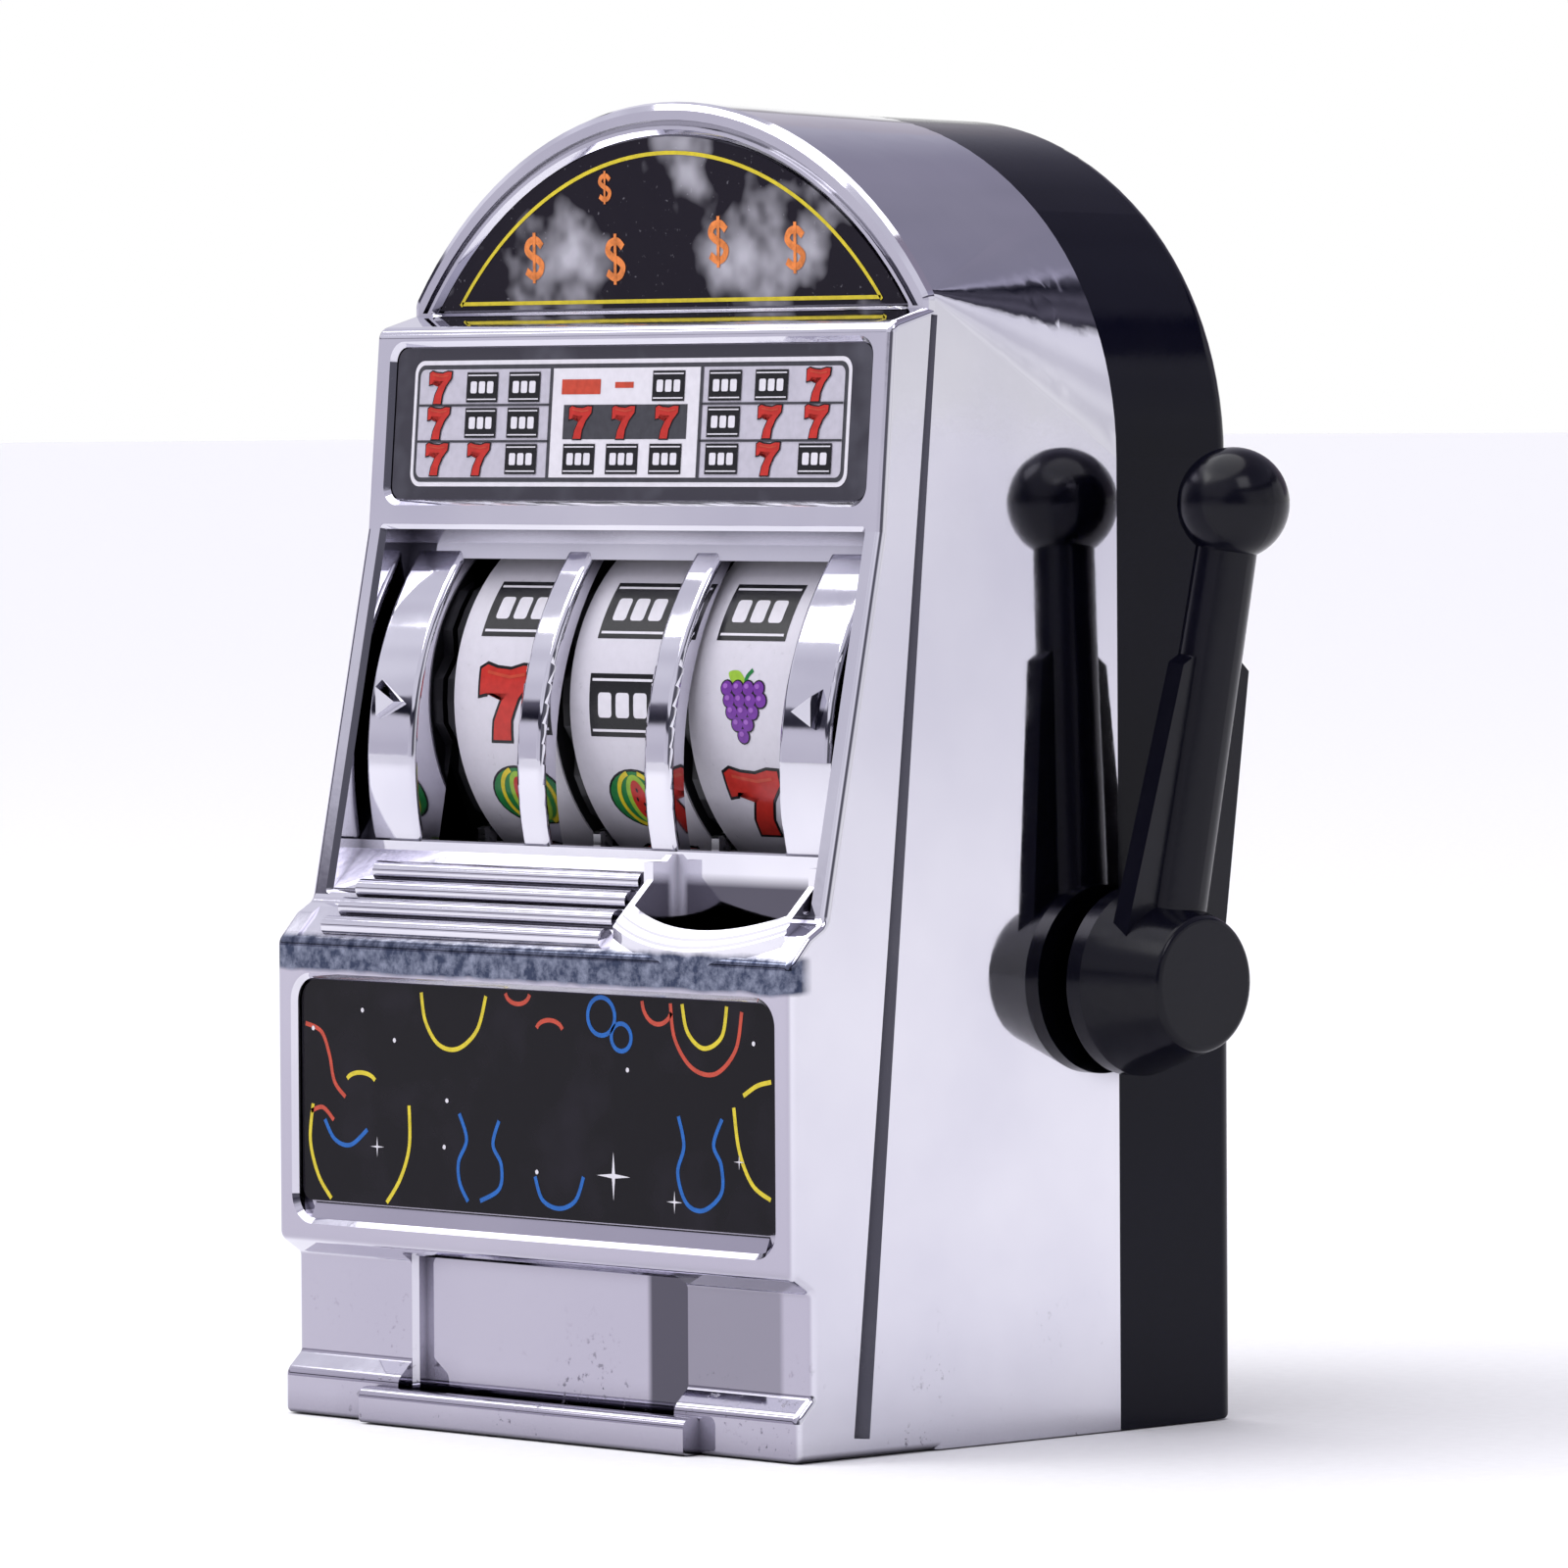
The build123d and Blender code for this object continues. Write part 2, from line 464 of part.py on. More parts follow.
def kicker():
    """Sleeve on the lever shaft: three fingers for the reels and a tail for the spring."""
    body = rod_x(2.8, -16.8, 16.8, SHAFT_Y, SHAFT_Z)
    for x in REELS.values():
        finger = block((x - 5.9, x - 4.7), (-0.9, 0.9), (0, 7.3))
        body += Pos(0, SHAFT_Y, SHAFT_Z) * Rot(-15, 0, 0) * finger
    tail = [(SHAFT_Y, SHAFT_Z + 2.2), (SPRING_Y + 0.9, SPRING_HIGH + 0.8), (SPRING_Y + 0.9, SPRING_HIGH - 0.9),
            (SHAFT_Y, SHAFT_Z - 2.6)]
    body += side_prism(tail, SPRING_X - 0.7, SPRING_X + 0.7)
    body -= rod_x(0.55, SPRING_X - 2, SPRING_X + 2, SPRING_Y, SPRING_HIGH)
    return body - rod_x(SHAFT_R + 0.01, -25, 25, SHAFT_Y, SHAFT_Z)


def lever():
    """One black moulding: neck, cone hub, webbed arm and ball."""
    hub_y, hub_z = SHAFT_Y, SHAFT_Z
    flare = Plane(origin=(HUB_FACE + 1.2, hub_y, hub_z), z_dir=(1, 0, 0))
    cone = loft([flare * Circle(HUB_R), flare.offset(HUB_END - HUB_FACE - 1.2) * Circle(CAP_R)])
    body = cone + rod_x(HUB_R, HUB_FACE, HUB_FACE + 1.2, hub_y, hub_z)
    cap = body.faces().sort_by(Axis.X)[-1]
    body = fillet(cap.edges(), 0.5)
    body += rod_x(NECK_R, CHEEK_OUT + 0.3, HUB_FACE + 0.5, hub_y, hub_z)
    start = Vector(HUB_FACE + 2.6, hub_y, hub_z)
    run = Vector(*BALL) - start
    arm = Plane(origin=start, z_dir=run, x_dir=(1, 0, 0))
    rod = loft([arm.offset(4) * Circle(ARM_R + 0.25), arm.offset(run.length) * Circle(ARM_R - 0.05)])
    web_top = run.length * 0.66
    web = make_face(Polyline((0, -4.9), (web_top, -3.1), (web_top + 0.6, -2.2), (web_top + 0.6, 2.2),
                             (web_top, 3.1), (0, 4.9), close=True))
    sheet = Plane(origin=start, x_dir=run, z_dir=arm.x_dir)
    body += rod + extrude(sheet * web, 0.7, both=True)
    body += Pos(*BALL) * Sphere(BALL_R)
    return body - rod_x(SHAFT_R + 0.01, 10, HUB_FACE + 3.0, SHAFT_Y, SHAFT_Z)


def screw(head_y, x, z, length, side):
    """Self-tapping screw along Y; side is +1 when the head faces the back."""
    head = rod_y(1.9, *sorted((head_y, head_y + side * 1.2)), x, z)
    slot = block((x - 1.2, x + 1.2), sorted((head_y + side * 0.7, head_y + side * 2)), (z - 0.25, z + 0.25))
    slot += block((x - 0.25, x + 0.25), sorted((head_y + side * 0.7, head_y + side * 2)), (z - 1.2, z + 1.2))
    return head - slot + rod_y(0.93, *sorted((head_y, head_y - side * length)), x, z)


def screws():
    rear = [screw(SEAM + 2.0, s * x, z, 8.5, 1) for s in (-1, 1) for x, z in REAR_SCREWS]
    inner = [screw(FRAME_FRONT + 1.3, s * FRAME_SCREW_X, FRAME_SCREW_Z, 7.5, 1) for s in (-1, 1)]
    return {"rear_screws": Compound(rear), "frame_screws": Compound(inner)}


def build():
    nodes = {"front_shell": front_shell(), "rear_shell": rear_shell()}
    nodes.update(labels())
    for name, x in REELS.items():
        nodes[f"reel_drum_{name}"] = reel_drum(x)
        nodes[f"reel_strip_{name}"] = reel_strip(x)
    nodes["reel_axle"] = rod_x(AXLE_R, -CHEEK_OUT - 1.1, CHEEK_OUT + 1.1, AXLE_Y, AXLE_Z)
    nodes["reel_spacers"] = reel_spacers()
    nodes["axle_clips"] = axle_clips()
    nodes["mechanism_frame"] = mechanism_frame()
    nodes["detent_spring"] = detent_spring()
    nodes["lever"] = lever()
    nodes["lever_shaft"] = rod_x(SHAFT_R, -CHEEK_OUT - 1.6, HUB_FACE + 2.9, SHAFT_Y, SHAFT_Z)
    nodes["kicker"] = kicker()
    nodes["return_spring"] = return_spring()
    nodes.update(screws())
    return nodes


os.makedirs("parts", exist_ok=True)
for node, shape in build().items():
    export_step(shape, f"parts/{node}.step")
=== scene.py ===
import bpy
import bmesh
from math import cos, pi, radians, sin
from mathutils import Matrix, Vector

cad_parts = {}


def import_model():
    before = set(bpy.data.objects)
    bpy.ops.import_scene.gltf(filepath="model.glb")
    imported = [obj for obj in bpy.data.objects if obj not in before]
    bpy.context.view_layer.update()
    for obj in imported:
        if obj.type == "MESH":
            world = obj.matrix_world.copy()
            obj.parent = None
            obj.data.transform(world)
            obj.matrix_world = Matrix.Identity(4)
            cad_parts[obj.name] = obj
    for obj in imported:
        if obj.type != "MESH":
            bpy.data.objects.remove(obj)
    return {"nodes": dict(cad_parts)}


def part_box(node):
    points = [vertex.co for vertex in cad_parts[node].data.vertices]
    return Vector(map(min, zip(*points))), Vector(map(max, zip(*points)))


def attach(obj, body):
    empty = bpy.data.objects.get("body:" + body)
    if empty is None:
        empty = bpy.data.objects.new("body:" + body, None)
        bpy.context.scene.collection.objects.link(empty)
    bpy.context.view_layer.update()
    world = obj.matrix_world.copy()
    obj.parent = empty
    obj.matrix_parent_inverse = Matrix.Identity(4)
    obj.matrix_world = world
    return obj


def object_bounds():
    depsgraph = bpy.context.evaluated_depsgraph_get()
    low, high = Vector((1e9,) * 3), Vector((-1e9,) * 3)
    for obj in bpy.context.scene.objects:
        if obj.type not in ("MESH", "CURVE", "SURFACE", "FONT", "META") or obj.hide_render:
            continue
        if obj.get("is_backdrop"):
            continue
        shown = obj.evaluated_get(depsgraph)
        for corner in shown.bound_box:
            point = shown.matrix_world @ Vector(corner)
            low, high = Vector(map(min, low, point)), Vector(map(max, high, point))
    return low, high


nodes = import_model()["nodes"]
cad_low, cad_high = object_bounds()
MM = 0.001  # metres in a millimetre



# ---------------------------------------------------------------- camera and studio
AZIMUTH, ELEVATION, ROLL = radians(46.35), radians(1.98), radians(-0.34)
DISTANCE = 0.6753
LENS, SENSOR = 231.3, 36.0

cam_data = bpy.data.cameras.new("camera")
camera = bpy.data.objects.new("camera", cam_data)
bpy.context.scene.collection.objects.link(camera)
bpy.context.scene.camera = camera
back = Vector((sin(AZIMUTH) * cos(ELEVATION), -cos(AZIMUTH) * cos(ELEVATION), sin(ELEVATION)))
level = Vector((cos(AZIMUTH), sin(AZIMUTH), 0))
up = back.cross(level)
right = cos(ROLL) * level + sin(ROLL) * up
up = back.cross(right)
turn = Matrix((right, up, back)).transposed().to_4x4()
target = Vector((0, -0.001, 0.044))
camera.matrix_world = Matrix.Translation(target + back * DISTANCE) @ turn
cam_data.sensor_width = SENSOR
cam_data.lens = LENS
cam_data.shift_x = 0.0248
cam_data.shift_y = -0.0147
cam_data.clip_start = 0.01
cam_data.clip_end = 60


def add(tree, kind, inputs=None, **props):
    """A node with its properties set and its inputs given values or links."""
    node = tree.nodes.new(kind)
    for key, value in props.items():
        setattr(node, key, value)
    for key, value in (inputs or {}).items():
        if isinstance(value, bpy.types.NodeSocket):
            tree.links.new(value, node.inputs[key])
        else:
            node.inputs[key].default_value = value
    return node


def ramp(tree, factor, stops):
    """A colour ramp; stops are (position, grey or colour)."""
    node = add(tree, "ShaderNodeValToRGB", {"Fac": factor})
    while len(node.color_ramp.elements) < len(stops):
        node.color_ramp.elements.new(0.5)
    for element, (place, colour) in zip(node.color_ramp.elements, stops):
        element.position = place
        rgb = colour if isinstance(colour, tuple) else (colour,) * 3
        element.color = (*rgb, 1)
    return node.outputs["Color"]


def maths(tree, operation, a, b=0.0, clamp=False):
    return add(tree, "ShaderNodeMath", {0: a, 1: b}, operation=operation, use_clamp=clamp).outputs[0]


def blend_colours(tree, factor, a, b):
    node = add(tree, "ShaderNodeMix", data_type="RGBA")
    for index, value in ((0, factor), (6, a), (7, b)):
        if isinstance(value, bpy.types.NodeSocket):
            tree.links.new(value, node.inputs[index])
        else:
            node.inputs[index].default_value = value if index == 0 else (*value, 1)
    return node.outputs[2]


def elevation(degrees):
    """Where a height above the horizon falls on a colour ramp."""
    return 0.5 + 0.5 * sin(radians(degrees))


def facing(tree, direction, toward, start, stop):
    """0 to 1 as a direction turns towards another."""
    dot = add(tree, "ShaderNodeVectorMath", {0: direction, 1: toward}, operation="DOT_PRODUCT").outputs["Value"]
    return add(tree, "ShaderNodeMapRange", {"Value": dot, "From Min": start, "From Max": stop},
               interpolation_type="SMOOTHSTEP").outputs[0]


REAR_RIGHT = (0.72, 0.69, 0.0)     # directions in the studio
REAR_LEFT = (-0.72, 0.69, 0.0)
FRONT_RIGHT = (0.72, -0.69, 0.05)


def studio_world():
    """Soft studio surround: pale walls with dark gaps, a white rear left and a dark front right."""
    world = bpy.data.worlds.new("studio")
    bpy.context.scene.world = world
    world.use_nodes = True
    tree = world.node_tree
    tree.nodes.clear()
    direction = add(tree, "ShaderNodeTexCoord").outputs["Generated"]
    split = add(tree, "ShaderNodeSeparateXYZ", {0: direction})
    ragged = add(tree, "ShaderNodeTexNoise", {"Vector": direction, "Scale": 14.0, "Detail": 4.0}).outputs["Fac"]
    shift = maths(tree, "MULTIPLY", maths(tree, "SUBTRACT", ragged, 0.5), 0.025)
    height = maths(tree, "ADD", maths(tree, "MULTIPLY", split.outputs["Z"], 0.5), 0.5)
    uneven = maths(tree, "ADD", height, shift)
    white, lavender, mauve = (1.0, 1.0, 1.0), (0.80, 0.78, 0.90), (0.30, 0.26, 0.33)
    slate, dark = (0.20, 0.22, 0.32), (0.012, 0.012, 0.022)
    front = ramp(tree, height, [
        (0.0, lavender), (elevation(-4), (0.84, 0.82, 0.92)), (elevation(8.0), (0.74, 0.72, 0.82)),
        (elevation(9.0), dark), (elevation(12.8), dark), (elevation(13.6), (0.92, 0.91, 1.0)),
        (elevation(56), (0.80, 0.79, 0.90)), (elevation(62), slate), (1.0, (0.36, 0.36, 0.45))])
    right_rear = ramp(tree, uneven, [
        (0.0, lavender), (elevation(-3), white), (elevation(23), (0.90, 0.89, 0.98)), (elevation(24.5), dark),
        (elevation(31), dark), (elevation(32.5), (0.50, 0.48, 0.62)), (elevation(45), (0.36, 0.35, 0.46)),
        (1.0, mauve)])
    left_rear = ramp(tree, height, [
        (0.0, lavender), (elevation(-3), white), (elevation(4), white), (elevation(6), mauve),
        (elevation(21), mauve), (elevation(23), (0.30, 0.29, 0.39)), (elevation(38), (0.28, 0.27, 0.35)),
        (1.0, mauve)])
    rear = blend_colours(tree, facing(tree, direction, (1, 0, 0), 0.04, 0.14), left_rear, right_rear)
    side = facing(tree, direction, REAR_RIGHT, -0.25, 0.25)
    sky = blend_colours(tree, side, front, rear)
    drift = add(tree, "ShaderNodeTexNoise", {"Vector": direction, "Scale": 7.0, "Detail": 1.0}).outputs["Fac"]
    soft = add(tree, "ShaderNodeMapRange", {"Value": drift, "From Min": 0.38, "From Max": 0.62, "To Max": 0.32})
    away = maths(tree, "SUBTRACT", 1.0, facing(tree, direction, REAR_LEFT, 0.80, 0.95))
    sky = blend_colours(tree, maths(tree, "MULTIPLY", soft.outputs[0], away), sky, (0.34, 0.32, 0.42))
    dark_side = maths(tree, "MULTIPLY", facing(tree, direction, FRONT_RIGHT, 0.86, 0.97), 0.88)
    sky = blend_colours(tree, dark_side, sky, (0.03, 0.03, 0.05))
    sky = blend_colours(tree, facing(tree, direction, REAR_LEFT, 0.965, 0.988), sky, white)
    surround = add(tree, "ShaderNodeBackground", {"Color": sky, "Strength": 1.0})
    add(tree, "ShaderNodeOutputWorld", {"Surface": surround.outputs[0]})


def area_light(name, place, aim, width, height, power, colour=(1, 1, 1)):
    data = bpy.data.lights.new(name, "AREA")
    data.shape = "RECTANGLE"
    data.size, data.size_y = width, height
    data.energy = power
    data.color = colour
    lamp = bpy.data.objects.new(name, data)
    bpy.context.scene.collection.objects.link(lamp)
    direction = Vector(aim) - Vector(place)
    aimed = direction.to_track_quat("-Z", "Y").to_matrix().to_4x4()
    lamp.matrix_world = Matrix.Translation(Vector(place)) @ aimed


def floor():
    """White paper just under the machine, far wider than the view."""
    mesh = bpy.data.meshes.new("floor")
    half = 20.0
    corners = [(-half, -half, 0), (half, -half, 0), (half, half, 0), (-half, half, 0)]
    mesh.from_pydata(corners, [], [(0, 1, 2, 3)])
    ground = bpy.data.objects.new("floor", mesh)
    bpy.context.scene.collection.objects.link(ground)
    ground.location.z = -0.0001
    material = bpy.data.materials.new("floor_paper")
    material.use_nodes = True
    tree = material.node_tree
    bsdf = tree.nodes["Principled BSDF"]
    coord = add(tree, "ShaderNodeTexCoord")
    noise = add(tree, "ShaderNodeTexNoise", {"Vector": coord.outputs["Object"], "Scale": 900.0, "Detail": 2.0})
    tree.links.new(ramp(tree, noise.outputs["Fac"], [(0.3, (0.90, 0.90, 0.89)), (0.7, (0.93, 0.93, 0.92))]),
                   bsdf.inputs["Base Color"])
    bsdf.inputs["Roughness"].default_value = 0.75
    mesh.materials.append(material)
    ground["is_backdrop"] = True


studio_world()
floor()
area_light("key_left", (-0.55, -0.62, 0.75), (0, 0, 0.05), 0.55, 0.45, 2.6)
area_light("fill_right", (0.75, -0.25, 0.80), (0, 0, 0.05), 0.40, 0.40, 1.6, (0.96, 0.95, 1.0))
sun_data = bpy.data.lights.new("ceiling", "SUN")
sun_data.energy = 1.9
sun_data.angle = radians(70)
sun = bpy.data.objects.new("ceiling", sun_data)
bpy.context.scene.collection.objects.link(sun)
sun.rotation_euler = (radians(12), radians(-14), 0)
bpy.context.scene.view_settings.view_transform = "Standard"


# ---------------------------------------------------------------- materials
# The band between BAND_LOW and BAND_HIGH along the belly's top edge gets a painted dark reflection and is made
# a little rougher.
BAND_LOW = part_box("belly_label")[1].z + 0.0008    # dull band along the belly's top edge
BAND_HIGH = BAND_LOW + 0.0027
BAND_DEPTHS = cad_low.y + 0.0020, cad_low.y + 0.0030    # the band fades out between these
# painted shade in the coin cup, as (axis, where it starts, where it is full). It has no lower height, so
# everything below the cup that lies as far back gets the painted shade too, which includes a strip of the kick
# panel
CUP_PAINTED_SHADE = (("X", 0.0085, 0.0090), ("X", 0.0225, 0.0220), ("Z", 0.0373, 0.0364),
              ("Y", cad_low.y + 0.0025, cad_low.y + 0.0030))


def new_material(name, roughness, metallic=0.0, specular=0.5):
    """(material, its tree, its principled node, its object coordinates)"""
    material = bpy.data.materials.new(name)
    material.use_nodes = True
    tree = material.node_tree
    bsdf = tree.nodes["Principled BSDF"]
    bsdf.inputs["Roughness"].default_value = roughness
    bsdf.inputs["Metallic"].default_value = metallic
    bsdf.inputs["Specular IOR Level"].default_value = specular
    return material, tree, bsdf, add(tree, "ShaderNodeTexCoord").outputs["Object"]


def noise(tree, vector, scale, detail=3.0, rough=0.5):
    return add(tree, "ShaderNodeTexNoise",
               {"Vector": vector, "Scale": scale, "Detail": detail, "Roughness": rough}).outputs["Fac"]


def bump(tree, height, distance, normal=None):
    inputs = {"Height": height, "Distance": distance, "Strength": 1.0}
    if normal is not None:
        inputs["Normal"] = normal
    return add(tree, "ShaderNodeBump", inputs).outputs[0]


def between(tree, value, start, stop, top=1.0):
    """0 to top as a value goes from one limit to the other."""
    limits = {"Value": value, "From Min": start, "From Max": stop, "To Max": top}
    return add(tree, "ShaderNodeMapRange", limits).outputs[0]


def chrome():
    """Vacuum-plated plastic, mirror bright and faintly wavy. Painted shade makes it greyer on the front of the
    belly and kick panel; a painted dark reflection lies along the belly's top edge, which is also a little
    rougher; painted shade darkens it in and below the coin cup and in crevices; and it is speckled with wear
    near the ground."""
    material, tree, bsdf, coord = new_material("chrome_plating", 0.04, 1.0)
    split = add(tree, "ShaderNodeSeparateXYZ", {0: coord})
    height = split.outputs["Z"]
    specks = ramp(tree, noise(tree, coord, 1500.0, 4.0, 0.7), [(0.60, 0.0), (0.66, 1.0)])
    patches = ramp(tree, noise(tree, coord, 160.0, 2.0), [(0.50, 0.0), (0.62, 1.0)])
    near_ground = between(tree, height, 0.010, 0.001)
    wear = maths(tree, "MULTIPLY", maths(tree, "MULTIPLY", specks, patches), near_ground, True)

    # Painted reflection: a slate band along the belly's top edge stands in for the dark surroundings it
    # reflects; the same mask adds a little roughness.
    ragged = maths(tree, "ADD", height, maths(tree, "MULTIPLY", noise(tree, coord, 500.0), 0.0006))
    above = between(tree, ragged, BAND_LOW, BAND_LOW + 0.0003)
    below = between(tree, ragged, BAND_HIGH, BAND_HIGH - 0.0004)
    front = between(tree, split.outputs["Y"], BAND_DEPTHS[1], BAND_DEPTHS[0])
    dull_painted_reflection = maths(tree, "MULTIPLY", maths(tree, "MULTIPLY", above, below), front)

    plating = ramp(tree, noise(tree, coord, 45.0, 4.0), [(0.35, (0.74, 0.73, 0.79)), (0.7, (0.62, 0.61, 0.69))])
    slate = ramp(tree, noise(tree, coord, 1000.0, 5.0, 0.65),
                 [(0.40, (0.04, 0.05, 0.09)), (0.66, (0.22, 0.24, 0.32))])
    # Painted shade: ambient occlusion darkens crevices, recesses and the gaps between ribs towards black.
    crevice = add(tree, "ShaderNodeAmbientOcclusion", {"Distance": 0.0042}, samples=8).outputs["AO"]
    painted_crevice_shade = ramp(tree, crevice, [(0.10, 1.0), (0.36, 0.62), (0.72, 0.0)])
    # Painted shade: faces turned to the front below the belly's top band are made greyer.
    painted_shade_facing = facing(tree, add(tree, "ShaderNodeNewGeometry").outputs["Normal"], (0, -1, 0), 0.6, 0.95)
    painted_shade_height = between(tree, height, BAND_HIGH, BAND_LOW, 0.8)
    # Painted shade in and below the coin cup.
    inside = 1.0
    for axis, start, full in CUP_PAINTED_SHADE:
        inside = maths(tree, "MULTIPLY", inside, between(tree, split.outputs[axis], start, full))
    # Plating colour with painted shade on the front below the band, the painted dark reflection on the band,
    # painted crevice shade and painted shade in the cup; wear specks go on top.
    base = blend_colours(tree, maths(tree, "MULTIPLY", painted_shade_facing, painted_shade_height), plating, (0.37, 0.345, 0.43))
    base = blend_colours(tree, dull_painted_reflection, base, slate)
    base = blend_colours(tree, painted_crevice_shade, base, (0.07, 0.065, 0.09))
    base = blend_colours(tree, inside, base, (0.09, 0.085, 0.11))
    tree.links.new(blend_colours(tree, wear, base, (0.13, 0.12, 0.15)), bsdf.inputs["Base Color"])

    scuff = ramp(tree, noise(tree, coord, 240.0, 5.0, 0.6), [(0.35, 0.025), (0.75, 0.085)])
    rough = maths(tree, "ADD", scuff, maths(tree, "MULTIPLY", wear, 0.35))
    tree.links.new(maths(tree, "ADD", rough, maths(tree, "MULTIPLY", dull_painted_reflection, 0.05)), bsdf.inputs["Roughness"])
    waves = bump(tree, noise(tree, coord, 50.0, 1.0), 0.00007)
    peel = bump(tree, noise(tree, coord, 900.0, 2.0), 0.0000012, waves)
    tree.links.new(peel, bsdf.inputs["Normal"])
    return material


def black_plastic(name, colour, roughness, specular=0.3):
    """Moulded gloss plastic: soft flow marks, fine grain and rubbed patches."""
    material, tree, bsdf, coord = new_material(name, roughness, 0.0, specular)
    flow = noise(tree, coord, 70.0, 4.0)
    darker = tuple(c * 0.7 for c in colour)
    tree.links.new(ramp(tree, flow, [(0.3, darker), (0.7, colour)]), bsdf.inputs["Base Color"])
    rub = noise(tree, coord, 300.0, 5.0, 0.65)
    gloss = ramp(tree, rub, [(0.3, roughness * 0.75), (0.8, roughness * 1.6)])
    tree.links.new(gloss, bsdf.inputs["Roughness"])
    waves = bump(tree, noise(tree, coord, 90.0, 1.0), 0.00004)
    grain = bump(tree, noise(tree, coord, 1800.0, 3.0), 0.000004, waves)
    tree.links.new(grain, bsdf.inputs["Normal"])
    return material


def metal(name, colour, roughness):
    """Drawn or stamped steel with fine streaks."""
    material, tree, bsdf, coord = new_material(name, roughness, 1.0)
    streaks = add(tree, "ShaderNodeMapping", {"Vector": coord, "Scale": (60, 1500, 1500)}).outputs[0]
    lines = noise(tree, streaks, 1.0, 4.0)
    darker = tuple(c * 0.75 for c in colour)
    tree.links.new(ramp(tree, lines, [(0.3, darker), (0.7, colour)]), bsdf.inputs["Base Color"])
    gloss = ramp(tree, lines, [(0.3, roughness * 0.7), (0.7, roughness * 1.5)])
    tree.links.new(gloss, bsdf.inputs["Roughness"])
    tree.links.new(bump(tree, lines, 0.000004), bsdf.inputs["Normal"])
    return material


def print_film(name, colour, haze):
    """Glossy printed label with faint milky haze and dust-fine grain."""
    roughness = 0.07
    material, tree, bsdf, coord = new_material(name, roughness, 0.0, 0.12)
    cloud = ramp(tree, noise(tree, coord, 150.0, 3.0, 0.55), [(0.50, 0.0), (0.72, 1.0)])
    fleck = ramp(tree, noise(tree, coord, 2600.0, 2.0), [(0.70, 0.0), (0.78, 0.25)])
    base = blend_colours(tree, cloud, colour, haze)
    tree.links.new(blend_colours(tree, fleck, base, haze), bsdf.inputs["Base Color"])
    tree.links.new(ramp(tree, noise(tree, coord, 500.0, 3.0), [(0.3, roughness * 0.6), (0.8, roughness * 2.2)]),
                   bsdf.inputs["Roughness"])
    tree.links.new(bump(tree, noise(tree, coord, 180.0, 2.0), 0.00001), bsdf.inputs["Normal"])
    return material


def ink(name, colour, shade=0.8):
    """Printed ink with slight uneven density."""
    material, tree, bsdf, coord = new_material(name, 0.2, 0.0, 0.25)
    darker = tuple(c * shade for c in colour)
    tree.links.new(ramp(tree, noise(tree, coord, 1700.0, 3.0), [(0.3, darker), (0.65, colour)]),
                   bsdf.inputs["Base Color"])
    tree.links.new(bump(tree, noise(tree, coord, 3000.0, 2.0), 0.000003), bsdf.inputs["Normal"])
    return material


def paper(name, colour):
    """Coated paper: faint fibres and a soft sheen."""
    material, tree, bsdf, coord = new_material(name, 0.32)
    fibres = noise(tree, coord, 1400.0, 5.0, 0.7)
    darker = tuple(c * 0.93 for c in colour)
    tree.links.new(ramp(tree, fibres, [(0.3, darker), (0.7, colour)]), bsdf.inputs["Base Color"])
    tree.links.new(ramp(tree, fibres, [(0.3, 0.26), (0.7, 0.40)]), bsdf.inputs["Roughness"])
    tree.links.new(bump(tree, fibres, 0.000004), bsdf.inputs["Normal"])
    return material


def dress(material, *names):
    for name in names:
        for place in nodes[name].material_slots:
            place.material = material


dress(chrome(), "front_shell")
dress(black_plastic("shell_black", (0.003, 0.003, 0.010), 0.12, 0.12), "rear_shell")
dress(black_plastic("lever_black", (0.003, 0.003, 0.008), 0.18, 0.22), "lever")
dress(black_plastic("drum_black", (0.012, 0.012, 0.014), 0.38),
      "reel_drum_left", "reel_drum_centre", "reel_drum_right")
dress(black_plastic("frame_grey", (0.10, 0.10, 0.11), 0.42), "mechanism_frame", "kicker", "reel_spacers")
dress(metal("bright_steel", (0.62, 0.62, 0.64), 0.22), "reel_axle", "lever_shaft", "axle_clips")
dress(metal("spring_steel", (0.50, 0.50, 0.52), 0.28), "detent_spring", "return_spring")
dress(metal("zinc_screw", (0.66, 0.66, 0.68), 0.30), "rear_screws", "frame_screws")
dress(print_film("belly_film", (0.004, 0.003, 0.006), (0.010, 0.008, 0.014)), "belly_label")
dress(print_film("marquee_film", (0.010, 0.008, 0.014), (0.46, 0.45, 0.50)), "marquee_label")
dress(print_film("paytable_film", (0.045, 0.043, 0.055), (0.09, 0.09, 0.11)), "paytable_label")
dress(paper("reel_paper", (0.62, 0.60, 0.66)), "reel_strip_left", "reel_strip_centre", "reel_strip_right")


# ---------------------------------------------------------------- printed artwork
INKS = {
    "black": ink("ink_black", (0.010, 0.010, 0.012)),
    "white": ink("ink_white", (0.70, 0.68, 0.73), shade=0.93),
    "pale": ink("ink_pale", (0.50, 0.48, 0.55), shade=0.9),
    "grey": ink("ink_grey", (0.055, 0.055, 0.065)),
    "red": ink("ink_red", (0.50, 0.030, 0.022)),
    "coral": ink("ink_coral", (0.52, 0.065, 0.035)),
    "yellow": ink("ink_yellow", (0.68, 0.55, 0.03)),
    "orange": ink("ink_orange", (0.83, 0.25, 0.06), shade=0.6),
    "blue": ink("ink_blue", (0.008, 0.12, 0.45)),
    "green": ink("ink_green", (0.02, 0.19, 0.05)),
    "lime": ink("ink_lime", (0.30, 0.50, 0.05)),
    "purple": ink("ink_purple", (0.16, 0.035, 0.30)),
    "violet": ink("ink_violet", (0.33, 0.12, 0.50)),
}
LAYER = 0.02  # mm between one printed layer and the next


